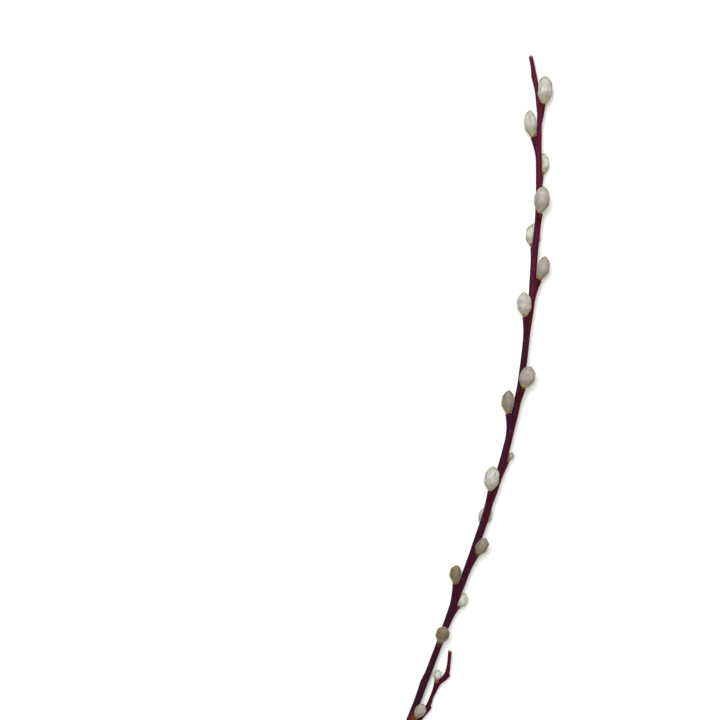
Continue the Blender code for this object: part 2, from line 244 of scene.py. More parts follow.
studio = {
    "floorColour": "#f4f3f0",
    "floorSize": 6.0,  # metres
    "skyColour": "#ffffff",
    "skyStrength": 0.55,
    # Each lamp: place beside the view's centre in metres, size in metres, watts
    "lamps": [((-0.32, 0.34, 1.75), 0.8, 32.0), ((0.9, -0.3, 1.1), 1.2, 3.0)],
}


def buildStudio(centre):
    floorMaterial = emptyMaterial("mattPaperFloor")  # matt white paper: even, no gloss
    tree = floorMaterial.node_tree
    shader = addNode(tree, "ShaderNodeBsdfPrincipled",
                     {"Base Color": linearColour(studio["floorColour"]), "Roughness": 0.9, "IOR": 1.4})
    addNode(tree, "ShaderNodeOutputMaterial", {"Surface": shader.outputs[0]})
    half = studio["floorSize"] / 2
    mesh = bpy.data.meshes.new("floor")
    mesh.from_pydata([(-half, -half, 0), (half, -half, 0), (half, half, 0), (-half, half, 0)], [], [(0, 1, 2, 3)])
    mesh.materials.append(floorMaterial)
    floor = bpy.data.objects.new("floor", mesh)
    bpy.context.scene.collection.objects.link(floor)

    world = bpy.data.worlds.new("paleRoom")
    world.use_nodes = True
    world.node_tree.nodes.clear()
    sky = addNode(world.node_tree, "ShaderNodeBackground",
                  {"Color": linearColour(studio["skyColour"]), "Strength": studio["skyStrength"]})
    addNode(world.node_tree, "ShaderNodeOutputWorld", {"Surface": sky.outputs[0]})
    bpy.context.scene.world = world

    for number, (place, size, watts) in enumerate(studio["lamps"], 1):
        data = bpy.data.lights.new(f"softLamp{number}", "AREA")
        data.size = size
        data.energy = watts
        lamp = bpy.data.objects.new(data.name, data)
        lamp.location = centre + Vector(place)
        lamp.rotation_euler = (-Vector(place)).to_track_quat("-Z", "Y").to_euler()
        bpy.context.scene.collection.objects.link(lamp)
    bpy.context.scene.view_settings.view_transform = "Standard"  # keeps the floor near white, as in the photo


viewCentre = placeCamera()
buildStudio(viewCentre)
print("studio: camera, floor and lamps")


def meshPiece(name, points, faces, materials, faceMaterials=None):
    # A smooth-shaded piece from millimetre points
    mesh = bpy.data.meshes.new(name)
    mesh.from_pydata([tuple(p * mm) for p in points], [], faces)
    for material in materials:
        mesh.materials.append(material)
    if faceMaterials:
        mesh.polygons.foreach_set("material_index", faceMaterials)
    mesh.shade_smooth()
    obj = bpy.data.objects.new(name, mesh)
    bpy.context.scene.collection.objects.link(obj)
    return obj


def setAttribute(mesh, name, kind, values):
    layer = mesh.attributes.new(name, kind, "POINT")
    if kind == "FLOAT_VECTOR":
        layer.data.foreach_set("vector", [c for value in values for c in value])
    else:
        layer.data.foreach_set("value", values)


def tubeFaces(first, ringCount, sides):
    # Faces between rings of points that follow each other, outward for rings that turn to the left
    faces = []
    for i in range(ringCount - 1):
        low, high = first + i * sides, first + (i + 1) * sides
        for k in range(sides):
            n = (k + 1) % sides
            faces.append((low + k, low + n, high + n, high + k))
    return faces


barkLook = {
    "wine": "#350617",
    "young": "#541028",  # toward the tip
    "crimson": "#480815",  # the side that faces right
    "violetBloomSheen": "#241030",  # the side that faces left: the waxy bloom's own colour, with painted sheen of the key lamp that lights that side
    "earth": "#240c1c",  # older bark toward the butt
    "dark": "#19050b",
    "cushion": "#36040a",
    "rust": "#6c3312",  # around the fork and in a few patches
    "scar": "#402420",
    "bud": "#401318",
    "streakWidth": 1.2,
    "streakLength": 20,
    "cloudLength": 42,
    "wrinkleWidth": 0.45,
    "roughness": 0.42,
    "specular": 0.05,
    "sides": 40,
    "ringSpacing": 1.1,
    "shootSides": 28,
    "cornerRounding": 0.35,
    "ridgeHeight": 0.05,
    "scarDepth": 0.12,
    "cutRings": (1.0, 0.95, 0.88, 0.66, 0.42, 0.2),  # parts of the radius, across a cut end
    "chamfer": 0.2,
}


def willowBark():
    # Young willow bark: smooth and waxy, so it is satin, with colour that runs lengthwise in fine streaks
    material = emptyMaterial("willowBark")
    tree = material.node_tree
    place = addNode(tree, "ShaderNodeAttribute", attribute_name="barkPlace").outputs["Vector"]
    across, along, cloud = (1000 / barkLook[key] for key in ("streakWidth", "streakLength", "cloudLength"))
    wrinkle = 1000 / barkLook["wrinkleWidth"]
    patterns = {}
    for name, scale, detail in (("streak", (across, across, along), 4), ("fine", (wrinkle, wrinkle, along * 2.5), 3),
                                ("cloud", (cloud * 5, cloud * 5, cloud), 3), ("patch", (cloud * 4, cloud * 4, cloud * 2), 2)):
        shifted = addNode(tree, "ShaderNodeMapping",
                          {"Vector": place, "Location": (len(patterns) * 7.3, 3.1, 1.7), "Scale": scale})
        patterns[name] = addNode(tree, "ShaderNodeTexNoise",
                                 {"Vector": shifted.outputs[0], "Scale": 1.0, "Detail": detail, "Roughness": 0.6}).outputs[0]
    marks = {name: addNode(tree, "ShaderNodeAttribute", attribute_name=name).outputs["Fac"]
             for name in ("barkSide", "barkAlong", "cushion", "scar", "bud", "rust")}

    # Each layer: colour, what drives it, from and to of that value, and how strong it gets
    sideMixed = addNode(tree, "ShaderNodeMath", {0: patterns["cloud"], 1: 0.9, 2: marks["barkSide"]},
                        operation="MULTIPLY_ADD").outputs[0]
    oldBark = addNode(tree, "ShaderNodeMath", {0: patterns["patch"], 1: -0.5, 2: marks["barkAlong"]},
                      operation="MULTIPLY_ADD").outputs[0]
    layers = (
        ("young", oldBark, 0.42, 0.66, 0.9),
        ("crimson", sideMixed, 0.4, 1.4, 0.7),
        # The violet on the left side is partly the waxy bloom and partly painted sheen, where the key lamp lights that
        # side
        ("violetBloomSheen", sideMixed, 0.3, -0.4, 0.78),
        ("earth", oldBark, 0.34, -0.1, 0.85),
        ("rust", patterns["patch"], 0.66, 0.84, 0.3),
        ("dark", patterns["streak"], 0.58, 0.75, 0.55),
        ("crimson", patterns["fine"], 0.62, 0.8, 0.3),
        ("cushion", marks["cushion"], 0.1, 0.9, 0.8),
        ("rust", marks["rust"], 0.0, 1.0, 0.85),
        ("bud", marks["bud"], 0.1, 0.8, 0.85),
        ("scar", marks["scar"], 0.2, 0.8, 0.9),
    )
    colour = addNode(tree, "ShaderNodeRGB")
    colour.outputs[0].default_value = linearColour(barkLook["wine"])
    colour = colour.outputs[0]
    for name, driver, low, high, strength in layers:
        factor = addNode(tree, "ShaderNodeMapRange",
                         {"Value": driver, "From Min": low, "From Max": high, "To Max": strength},
                         interpolation_type="SMOOTHSTEP")
        colour = addNode(tree, "ShaderNodeMix",
                         {0: factor.outputs[0], 6: colour, 7: linearColour(barkLook[name])},
                         data_type="RGBA").outputs[2]
    relief = addNode(tree, "ShaderNodeMath", {0: patterns["streak"], 1: 0.5, 2: patterns["fine"]},
                     operation="MULTIPLY_ADD").outputs[0]
    bump = addNode(tree, "ShaderNodeBump", {"Strength": 0.7, "Distance": 0.00008, "Height": relief})
    gloss = addNode(tree, "ShaderNodeMapRange",
                    {"Value": patterns["cloud"], "From Min": 0.3, "From Max": 0.7,
                     "To Min": barkLook["roughness"] - 0.06, "To Max": barkLook["roughness"] + 0.14})
    shader = addNode(tree, "ShaderNodeBsdfPrincipled",
                     {"Base Color": colour, "Roughness": gloss.outputs[0], "IOR": 1.45,
                      "Normal": bump.outputs[0], "Specular IOR Level": barkLook["specular"]})
    addNode(tree, "ShaderNodeOutputMaterial", {"Surface": shader.outputs[0]})
    return material


cutLook = {"wood": "#a5906c", "woodDark": "#80674a", "cambium": "#6f6c3c", "pith": "#6e5034", "rim": "#421f1c"}


def freshCutWood():
    # Knife-cut willow wood: pale and matt, with a darker pith and a green line under the bark
    material = emptyMaterial("freshCutWillow")
    tree = material.node_tree
    across = addNode(tree, "ShaderNodeAttribute", attribute_name="cutAcross").outputs["Fac"]
    place = addNode(tree, "ShaderNodeTexCoord").outputs["Object"]
    grain = addNode(tree, "ShaderNodeTexNoise", {"Vector": place, "Scale": 2200, "Detail": 3}).outputs[0]
    colour = addNode(tree, "ShaderNodeMix", {0: grain, 6: linearColour(cutLook["wood"]),
                                             7: linearColour(cutLook["woodDark"])}, data_type="RGBA").outputs[2]
    for name, low, high in (("pith", 0.26, 0.12), ("cambium", 0.82, 0.9), ("rim", 0.93, 0.98)):
        factor = addNode(tree, "ShaderNodeMapRange", {"Value": across, "From Min": low, "From Max": high},
                         interpolation_type="SMOOTHSTEP")
        colour = addNode(tree, "ShaderNodeMix", {0: factor.outputs[0], 6: colour, 7: linearColour(cutLook[name])},
                         data_type="RGBA").outputs[2]
    bump = addNode(tree, "ShaderNodeBump", {"Strength": 0.5, "Distance": 0.00006, "Height": grain})
    shader = addNode(tree, "ShaderNodeBsdfPrincipled",
                     {"Base Color": colour, "Roughness": 0.7, "IOR": 1.45, "Normal": bump.outputs[0]})
    addNode(tree, "ShaderNodeOutputMaterial", {"Surface": shader.outputs[0]})
    return material


def scarDepth(wood, s, azimuth):
    # How far a point lies in the crescent scar that a leaf left below a cushion's corner
    best = 0.0
    for station, direction, ledge, bud in wood.cushions:
        if not -4 < s - station < 1:
            continue
        turned = (azimuth - direction + 180) % 360 - 180
        if abs(turned) > 70:
            continue
        wide = math.radians(turned) * (2.2 + ledge) / 2.1
        down = (s - station + 1.3 - 0.35 * wide * wide) / 0.55
        best = max(best, smoothStep(1.25, 0.75, math.hypot(wide, down)))
    return best


def stemShell(wood, sides, seed):
    # Rings of points along a stem with its cut ends, and what the bark's colours read at each
    form, look = wood.form, barkLook
    points, marks, kinds = [], [], []
    count = [0]

    def addRing(s, cut, part, sunk, onCut):
        slant, further = cut
        for k in range(sides):
            azimuth = -360 * k / sides
            size = curveValue(form["radius"], s)
            if part is None:
                r = look["cornerRounding"]
                size = (wood.bark(s - r, azimuth) + 2 * wood.bark(s, azimuth) + wood.bark(s + r, azimuth)) / 4
                angle = math.radians(azimuth)
                lump = noise.noise(Vector((math.cos(angle) * 1.6 + seed, math.sin(angle) * 1.6, s / 16)))
                size += look["ridgeHeight"] * 1.6 * lump - look["scarDepth"] * scarDepth(wood, s, azimuth)
            else:
                size = (wood.bark(s, azimuth) - look["chamfer"]) * part
            at = s + size * math.tan(math.radians(slant)) * math.cos(math.radians(azimuth - further)) + sunk
            points.append(wood.axis(at) + wood.outward(at, azimuth) * size)
            marks.append((at, azimuth, part if part is not None else 1.0))
        kinds.append(onCut)
        count[0] += 1

    start, end = 0.0, wood.length
    if "startCut" in form:
        slant, further = form["startCut"]
        start = form["radius"][0][1] * math.tan(math.radians(slant)) + 0.25
        for part in reversed(look["cutRings"]):
            addRing(start, form["startCut"], part, 0.12 * (1 - part), True)
        for i in range(9):
            addRing(start + look["chamfer"] + i, (slant * (1 - i / 9), further), None, 0, False)
        start += look["chamfer"] + 9
    else:
        addRing(0.5, (0, 0), 0.3, 0, True)
    stations = [start + i * look["ringSpacing"] for i in range(int((end - 5 - start) / look["ringSpacing"]) + 1)]
    for station, _, _, _ in wood.cushions:
        close = [station + d for d in (-2.6, -2.1, -1.7, -1.3, -0.9, -0.5, -0.2, 0, 0.2, 0.45, 0.8, 1.2, 1.6, 2.0)]
        stations = [s for s in stations if not station - 2.9 < s < station + 2.4]
        stations += [s for s in close if start < s < end - 5]
    for s in sorted(stations):
        addRing(s, (0, 0), None, 0, False)
    slant, further = form["endCut"]
    for i in range(5):
        addRing(end - 4 + i * 0.95, (slant * (i / 4), further), None, 0, False)
    for part in look["cutRings"]:
        addRing(end, form["endCut"], part, -0.12 * (1 - part), True)
    return points, marks, kinds


def buildStem():
    points, faces, faceKinds = [], [], []
    attributes = {name: [] for name in ("barkSide", "barkAlong", "cushion", "scar", "bud", "rust", "cutAcross",
                                        "lenticelHere")}
    places, grains = [], []
    for wood, sides, seed in ((rod, barkLook["sides"], 3.0), (shoot, barkLook["shootSides"], 11.0)):
        shell, marks, kinds = stemShell(wood, sides, seed)
        first = len(points)
        points += shell
        rings = len(kinds)
        faces += tubeFaces(first, rings, sides)
        for i in range(rings - 1):
            faceKinds += [1 if kinds[i] and kinds[i + 1] else 0] * sides
        # Both ends close on a middle point
        for ring, flip in ((0, True), (rings - 1, False)):
            corner = first + ring * sides
            middle = sum((points[corner + k] for k in range(sides)), Vector()) / sides
            points.append(middle)
            marks.append((marks[ring * sides][0], 0, 0.0))
            for k in range(sides):
                a, b = corner + k, corner + (k + 1) % sides
                faces.append((b, a, len(points) - 1) if flip else (a, b, len(points) - 1))
                faceKinds.append(1)
        for s, azimuth, across in marks:
            angle = math.radians(azimuth)
            size = curveValue(wood.form["radius"], s)
            places.append((size * math.cos(angle) * mm, size * math.sin(angle) * mm, s * mm + (seed if seed > 5 else 0)))
            grains.append(wood.directions(min(max(s, 0), wood.length))[0])
            dark = scar = budHere = 0.0
            for station, direction, ledge, bud in wood.cushions:
                above = s - station
                if -13 < above < 7:
                    facing = max(0.0, math.cos(math.radians(azimuth - direction)))
                    if above <= 0.6:
                        dark = max(dark, facing ** 2 * (1 + min(0, above) / 13) * (1.0 if not bud else 0.6))
                    if bud and above > 0:
                        budHere = max(budHere, smoothStep(0.72, 0.92, facing) * smoothStep(7, 5, above))
            scar = scarDepth(wood, s, azimuth)
            if wood is rod:
                rust = math.exp(-((s - shootForm["station"] - 12) / 9) ** 2) * max(0, math.cos(angle - 0.9)) * 0.7
                lower = s / wood.length
            else:
                rust = 0.6 * math.exp(-(s / 12) ** 2)
                lower = 0.3 + 0.5 * s / wood.length
            attributes["barkSide"].append(math.cos(angle))
            attributes["barkAlong"].append(lower)
            attributes["cushion"].append(dark)
            attributes["scar"].append(scar)
            attributes["bud"].append(budHere)
            attributes["rust"].append(rust)
            attributes["cutAcross"].append(across)
            attributes["lenticelHere"].append(1.0 if dark < 0.25 and budHere < 0.1 and across > 0.99 and s > 9 else 0.0)
    stem = meshPiece("stemBark", points, faces, [willowBark(), freshCutWood()], faceKinds)
    setAttribute(stem.data, "barkPlace", "FLOAT_VECTOR", places)
    setAttribute(stem.data, "grain", "FLOAT_VECTOR", grains)
    for name, values in attributes.items():
        setAttribute(stem.data, name, "FLOAT", values)
    for vertex in stem.data.vertices:
        vertex.co.z = max(0.0, vertex.co.z)  # the butt's lowest edge lies flat
    return stem


def treeWith(name, inputs):
    # A Geometry Nodes tree with named inputs
    tree = bpy.data.node_groups.new(name, "GeometryNodeTree")
    tree.interface.new_socket("Geometry", in_out="INPUT", socket_type="NodeSocketGeometry")
    for label, kind in inputs:
        tree.interface.new_socket(label, in_out="INPUT", socket_type=kind)
    tree.interface.new_socket("Geometry", in_out="OUTPUT", socket_type="NodeSocketGeometry")
    return tree


def growNodes(source, tree, values):
    # Runs a tree on a piece and gives back the plain mesh that it makes
    modifier = source.modifiers.new(tree.name, "NODES")
    modifier.node_group = tree
    for item in tree.interface.items_tree:
        if item.in_out == "INPUT" and item.name in values:
            modifier[item.identifier] = values[item.name]
    depsgraph = bpy.context.evaluated_depsgraph_get()
    mesh = bpy.data.meshes.new_from_object(source.evaluated_get(depsgraph))
    source.modifiers.remove(modifier)
    return mesh


lenticelLook = {"perSquareMm": 0.032, "length": 0.62, "width": 0.34, "height": 0.16, "seed": 5, "colour": "#a8744a",
                "colourDark": "#6b3d2a"}


def corkPores():
    # Lenticels: small raised pores of pale brown cork, matt
    material = emptyMaterial("lenticelCork")
    tree = material.node_tree
    place = addNode(tree, "ShaderNodeTexCoord").outputs["Object"]
    speckle = addNode(tree, "ShaderNodeTexNoise", {"Vector": place, "Scale": 900, "Detail": 2}).outputs[0]
    colour = addNode(tree, "ShaderNodeMix", {0: speckle, 6: linearColour(lenticelLook["colour"]),
                                             7: linearColour(lenticelLook["colourDark"])}, data_type="RGBA").outputs[2]
    shader = addNode(tree, "ShaderNodeBsdfPrincipled", {"Base Color": colour, "Roughness": 0.75, "IOR": 1.45})
    addNode(tree, "ShaderNodeOutputMaterial", {"Surface": shader.outputs[0]})
    return material


def buildLenticels(stem):
    tree = treeWith("lenticels", (("Density", "NodeSocketFloat"), ("Size", "NodeSocketVector"),
                                  ("Seed", "NodeSocketInt"), ("Material", "NodeSocketMaterial")))
    given = addNode(tree, "NodeGroupInput").outputs
    here = addNode(tree, "GeometryNodeInputNamedAttribute", {"Name": "lenticelHere"}, data_type="FLOAT")
    density = addNode(tree, "ShaderNodeMath", {0: here.outputs["Attribute"], 1: given["Density"]}, operation="MULTIPLY")
    spots = addNode(tree, "GeometryNodeDistributePointsOnFaces",
                    {"Mesh": given["Geometry"], "Density": density.outputs[0], "Seed": given["Seed"]},
                    distribute_method="RANDOM")
    grain = addNode(tree, "GeometryNodeInputNamedAttribute", {"Name": "grain"}, data_type="FLOAT_VECTOR")
    upright = addNode(tree, "FunctionNodeAlignRotationToVector", {"Vector": spots.outputs["Normal"]}, axis="Z")
    turned = addNode(tree, "FunctionNodeAlignRotationToVector",
                     {"Rotation": upright.outputs[0], "Vector": grain.outputs["Attribute"]}, axis="Y", pivot_axis="Z")
    bead = addNode(tree, "GeometryNodeMeshIcoSphere", {"Radius": 0.5, "Subdivisions": 1})
    pore = addNode(tree, "GeometryNodeTransform", {"Geometry": bead.outputs[0], "Scale": given["Size"]})
    soft = addNode(tree, "GeometryNodeSetShadeSmooth", {0: pore.outputs[0]})
    size = addNode(tree, "FunctionNodeRandomValue", {2: 0.5, 3: 1.25, "Seed": given["Seed"]}, data_type="FLOAT")
    placed = addNode(tree, "GeometryNodeInstanceOnPoints",
                     {"Points": spots.outputs["Points"], "Instance": soft.outputs[0], "Rotation": turned.outputs[0],
                      "Scale": size.outputs[1]})
    real = addNode(tree, "GeometryNodeRealizeInstances", {"Geometry": placed.outputs[0]})
    painted = addNode(tree, "GeometryNodeSetMaterial", {"Geometry": real.outputs[0], "Material": given["Material"]})
    addNode(tree, "NodeGroupOutput", {"Geometry": painted.outputs[0]})
    look = lenticelLook
    mesh = growNodes(stem, tree, {"Density": look["perSquareMm"] * 1e6, "Seed": look["seed"], "Material": corkPores(),
                                  "Size": [look[key] * mm for key in ("width", "length", "height")]})
    for vertex in mesh.vertices:
        vertex.co.z = max(0.0, vertex.co.z)
    obj = bpy.data.objects.new("lenticels", mesh)
    bpy.context.scene.collection.objects.link(obj)
    return obj


stemPiece = buildStem()
lenticelPiece = buildLenticels(stemPiece)
for piece in (stemPiece, lenticelPiece):
    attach(piece, "root")
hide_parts("stem")
print("stem:", len(stemPiece.data.polygons), "faces, lenticels:", len(lenticelPiece.data.polygons))


catkinForm = {
    # Way along a catkin and its half width there, as parts of the widest
    "outline": [(-0.14, 0.36), (0, 0.6), (0.1, 0.82), (0.24, 0.96), (0.4, 1.0), (0.58, 0.98), (0.76, 0.86),
                (0.89, 0.66), (0.97, 0.42), (1, 0.22)],
    "inner": 0.72,  # thickness on the side that lies on the stem
    "collarHeight": 2.4,
    "collarRadius": 1.65,
    "seatPlace": 0.53,
    "gap": 0.3,
    "coat": 0.55,  # how deep the hairs stand over the core
    "tipCoat": 0.9,
    "barkGap": 0.45,
    "coreRings": 28,
    "coreSides": 32,
    "lumps": 0.42,
}


class Seat:
    # Where one catkin sits: its cushion's sloping top, and its own axis

    def __init__(self, wood, catkin):
        self.wood = wood
        self.station, self.azimuth, self.fullLength, self.width, lean, _ = catkin
        along, _, _ = wood.directions(self.station)
        out = wood.outward(self.station, self.azimuth)
        self.side = along.cross(out)
        corner = wood.axis(self.station) + out * wood.bark(self.station, self.azimuth)
        above = self.station + cushionForm["top"]
        inner = wood.axis(above) + wood.outward(above, self.azimuth) * wood.bark(above, self.azimuth)
        self.slope = (corner - inner).normalized()
        self.up = self.side.cross(self.slope)
        if self.up.dot(along) < 0:
            self.up = -self.up
        place, gap = catkinForm["seatPlace"], catkinForm["gap"]
        self.reach = (corner - inner).length * (1 - place)
        self.foot = inner + (corner - inner) * place + self.up * gap
        lean = math.radians(lean)
        self.axis = along * math.cos(lean) + out * math.sin(lean)
        self.out = out * math.cos(lean) - along * math.sin(lean)
        self.base = self.foot + self.axis * (catkinForm["collarHeight"] + gap)
        self.length = self.fullLength - catkinForm["collarHeight"] - 2 * gap
        self.small = min(1.0, self.fullLength / 17)

    def clearance(self, point):
        # Station next to a point, and its distance from the bark there
        station = self.station
        for _ in range(3):
            along, right, up = self.wood.directions(station)
            station += (point - self.wood.axis(station)).dot(along)
        away = point - self.wood.axis(station)
        azimuth = math.degrees(math.atan2(away.dot(up), away.dot(right)))
        across = math.hypot(away.dot(up), away.dot(right))
        return station, across - self.wood.bark(station, azimuth)

    def clear(self, point, direction, gap):
        # Slides a point outward until it clears the bark by the gap
        for _ in range(6):
            short = gap - self.clearance(point)[1]
            if short < 0.02:
                break
            point = point + direction * short
        return point


silkLook = {
    "hairsPerSquareMm": 14,
    "hairLength": 4.4,
    "hairWidth": 0.09,
    "lift": 0.2,
    "bend": 0.17,  # how far a hair's end curls back to the head, as a part of its length
    "spread": 0.085,
    "clumpSpacing": 1.3,
    "clumpPull": 0.34,
    "headShare": 0.75,
    "root": "#aca898",
    "middle": "#e4e1d5",
    "tip": "#fffefa",
    "shade": "#857f70",
    "olive": "#8c8050",
    "grey": "#807d72",
    "dull": "#78694a",
    # How dull and olive each catkin is, from butt to tip and then on the shoot
    "tones": (0.45, 1.0, 0.0, 1.0, 0.85, 0.15, 0.1, 0.55, 0.8, 0.45, 0.15, 0.5, 0.05, 0.4, 0.0, 0.15, 0.1, 0.0),
}


def willowSilk():
    # Silky willow down: fine pale hairs over a grey root, soft and matt with a faint sheen
    material = emptyMaterial("willowSilk")
    tree = material.node_tree
    marks = {name: addNode(tree, "ShaderNodeAttribute", attribute_name=name).outputs["Fac"]
             for name in ("hairAlong", "hairTone", "catkinUp", "catkinTone")}
    place = addNode(tree, "ShaderNodeTexCoord").outputs["Object"]
    cloud = addNode(tree, "ShaderNodeTexNoise", {"Vector": place, "Scale": 260, "Detail": 2}).outputs[0]
    colour = addNode(tree, "ShaderNodeRGB")
    colour.outputs[0].default_value = linearColour(silkLook["root"])
    colour = colour.outputs[0]
    layers = (
        ("middle", marks["hairAlong"], 0.0, 0.45, 1.0),
        ("tip", marks["hairAlong"], 0.35, 1.0, 1.0),
        ("shade", marks["hairTone"], 0.45, 0.9, 0.8),
        ("shade", cloud, 0.45, 0.75, 0.3),
        ("grey", marks["catkinUp"], 0.7, 1.05, 0.5),
        ("olive", marks["catkinUp"], 0.26, 0.0, 0.6),
        ("dull", marks["catkinTone"], 0.0, 1.0, 1.0),
    )
    for name, driver, low, high, strength in layers:
        factor = addNode(tree, "ShaderNodeMapRange",
                         {"Value": driver, "From Min": low, "From Max": high, "To Max": strength})
        colour = addNode(tree, "ShaderNodeMix",
                         {0: factor.outputs[0], 6: colour, 7: linearColour(silkLook[name])},
                         data_type="RGBA").outputs[2]
    shader = addNode(tree, "ShaderNodeBsdfPrincipled",
                     {"Base Color": colour, "Roughness": 0.5, "IOR": 1.5, "Sheen Weight": 0.35, "Sheen Roughness": 0.4})
    addNode(tree, "ShaderNodeOutputMaterial", {"Surface": shader.outputs[0]})
    return material


def coatTree():
    # Hairs rooted all over a core, laid toward its tip and drawn together into small tufts
    tree = treeWith("silkCoat", (
        ("Density", "NodeSocketFloat"), ("Hair length", "NodeSocketFloat"), ("Hair width", "NodeSocketFloat"),
        ("Lift", "NodeSocketFloat"), ("Bend", "NodeSocketFloat"), ("Spread", "NodeSocketFloat"),
        ("Clump spacing", "NodeSocketFloat"), ("Clump pull", "NodeSocketFloat"), ("Seed", "NodeSocketInt"),
        ("Material", "NodeSocketMaterial")))
    given = addNode(tree, "NodeGroupInput").outputs
    position = addNode(tree, "GeometryNodeInputPosition").outputs[0]
    flow = addNode(tree, "GeometryNodeInputNamedAttribute", {"Name": "flow"}, data_type="FLOAT_VECTOR").outputs["Attribute"]
    room = addNode(tree, "GeometryNodeInputNamedAttribute", {"Name": "room"}, data_type="FLOAT").outputs["Attribute"]

    density = addNode(tree, "ShaderNodeMath", {0: room, 1: given["Density"]}, operation="MULTIPLY")
    roots = addNode(tree, "GeometryNodeDistributePointsOnFaces",
                    {"Mesh": given["Geometry"], "Density": density.outputs[0], "Seed": given["Seed"]},
                    distribute_method="RANDOM")
    normal = roots.outputs["Normal"]
    tufts = addNode(tree, "GeometryNodeDistributePointsOnFaces",
                    {"Mesh": given["Geometry"], "Distance Min": given["Clump spacing"], "Density Max": 4.0e6,
                     "Seed": given["Seed"]}, distribute_method="POISSON").outputs["Points"]
    nearest = addNode(tree, "GeometryNodeSampleNearest", {"Geometry": tufts}, domain="POINT")
    tuftPlace = addNode(tree, "GeometryNodeSampleIndex",
                        {"Geometry": tufts, "Value": position, "Index": nearest.outputs[0]},
                        data_type="FLOAT_VECTOR", domain="POINT")
    # A tuft's hairs meet where its middle hair ends
    ahead = addNode(tree, "ShaderNodeVectorMath", {0: flow, "Scale": given["Hair length"]}, operation="SCALE")
    meeting = addNode(tree, "ShaderNodeVectorMath", {0: tuftPlace.outputs[0], 1: ahead.outputs[0]}, operation="ADD")
    toward = addNode(tree, "ShaderNodeVectorMath", {0: meeting.outputs[0], 1: position}, operation="SUBTRACT")
    toward = addNode(tree, "ShaderNodeVectorMath", {0: toward.outputs[0]}, operation="NORMALIZE")

    raised = addNode(tree, "ShaderNodeVectorMath", {0: normal, "Scale": given["Lift"]}, operation="SCALE")
    drawn = addNode(tree, "ShaderNodeMix", {0: given["Clump pull"], 4: flow, 5: toward.outputs[0]}, data_type="VECTOR")
    laid = addNode(tree, "ShaderNodeVectorMath", {0: drawn.outputs[1], 1: raised.outputs[0]}, operation="ADD")
    chance = addNode(tree, "FunctionNodeRandomValue", {0: (-1, -1, -1), 1: (1, 1, 1), "Seed": given["Seed"]},
                     data_type="FLOAT_VECTOR")
    strayed = addNode(tree, "ShaderNodeVectorMath", {0: chance.outputs[0], "Scale": given["Spread"]}, operation="SCALE")
    direction = addNode(tree, "ShaderNodeVectorMath", {0: laid.outputs[0], 1: strayed.outputs[0]}, operation="ADD")
    pointed = addNode(tree, "FunctionNodeAlignRotationToVector", {"Vector": direction.outputs[0]}, axis="Z")
    turned = addNode(tree, "FunctionNodeAlignRotationToVector", {"Rotation": pointed.outputs[0], "Vector": normal},
                     axis="X", pivot_axis="Z")

    # One hair: three-sided, tapering to a point, curled back to the head
    radius = addNode(tree, "ShaderNodeMath", {0: given["Hair width"], 1: 0.5}, operation="MULTIPLY")
    cone = addNode(tree, "GeometryNodeMeshCone",
                   {"Vertices": 3, "Side Segments": 2, "Radius Top": 0.0, "Radius Bottom": radius.outputs[0],
                    "Depth": given["Hair length"]})
    height = addNode(tree, "ShaderNodeSeparateXYZ", {0: position}).outputs[2]
    share = addNode(tree, "ShaderNodeMath", {0: height, 1: given["Hair length"]}, operation="DIVIDE").outputs[0]
    marked = addNode(tree, "GeometryNodeStoreNamedAttribute",
                     {"Geometry": cone.outputs["Mesh"], "Name": "hairAlong", "Value": share}, data_type="FLOAT",
                     domain="POINT")
    squared = addNode(tree, "ShaderNodeMath", {0: height, 1: share}, operation="MULTIPLY")
    curled = addNode(tree, "ShaderNodeMath", {0: squared.outputs[0], 1: given["Bend"]}, operation="MULTIPLY")
    back = addNode(tree, "ShaderNodeMath", {0: curled.outputs[0], 1: -1.0}, operation="MULTIPLY")
    # The root is sunk into the core
    sunk = addNode(tree, "ShaderNodeMath", {0: given["Hair length"], 1: -0.09}, operation="MULTIPLY")
    offset = addNode(tree, "ShaderNodeCombineXYZ", {0: back.outputs[0], 2: sunk.outputs[0]})
    hair = addNode(tree, "GeometryNodeSetPosition", {"Geometry": marked.outputs[0], "Offset": offset.outputs[0]})
    hair = addNode(tree, "GeometryNodeSetShadeSmooth", {0: hair.outputs[0]})

    # Half of a hair's tone is its own, and half is its tuft's
    tone = addNode(tree, "FunctionNodeRandomValue", {2: 0.0, 3: 0.5, "Seed": given["Seed"]}, data_type="FLOAT")
    tuftTone = addNode(tree, "GeometryNodeSampleIndex",
                       {"Geometry": tufts, "Value": tone.outputs[1], "Index": nearest.outputs[0]},
                       data_type="FLOAT", domain="POINT")
    tone = addNode(tree, "ShaderNodeMath", {0: tone.outputs[1], 1: tuftTone.outputs[0]}, operation="ADD")
    toned = addNode(tree, "GeometryNodeStoreNamedAttribute",
                    {"Geometry": roots.outputs["Points"], "Name": "hairTone", "Value": tone.outputs[0]},
                    data_type="FLOAT", domain="POINT")
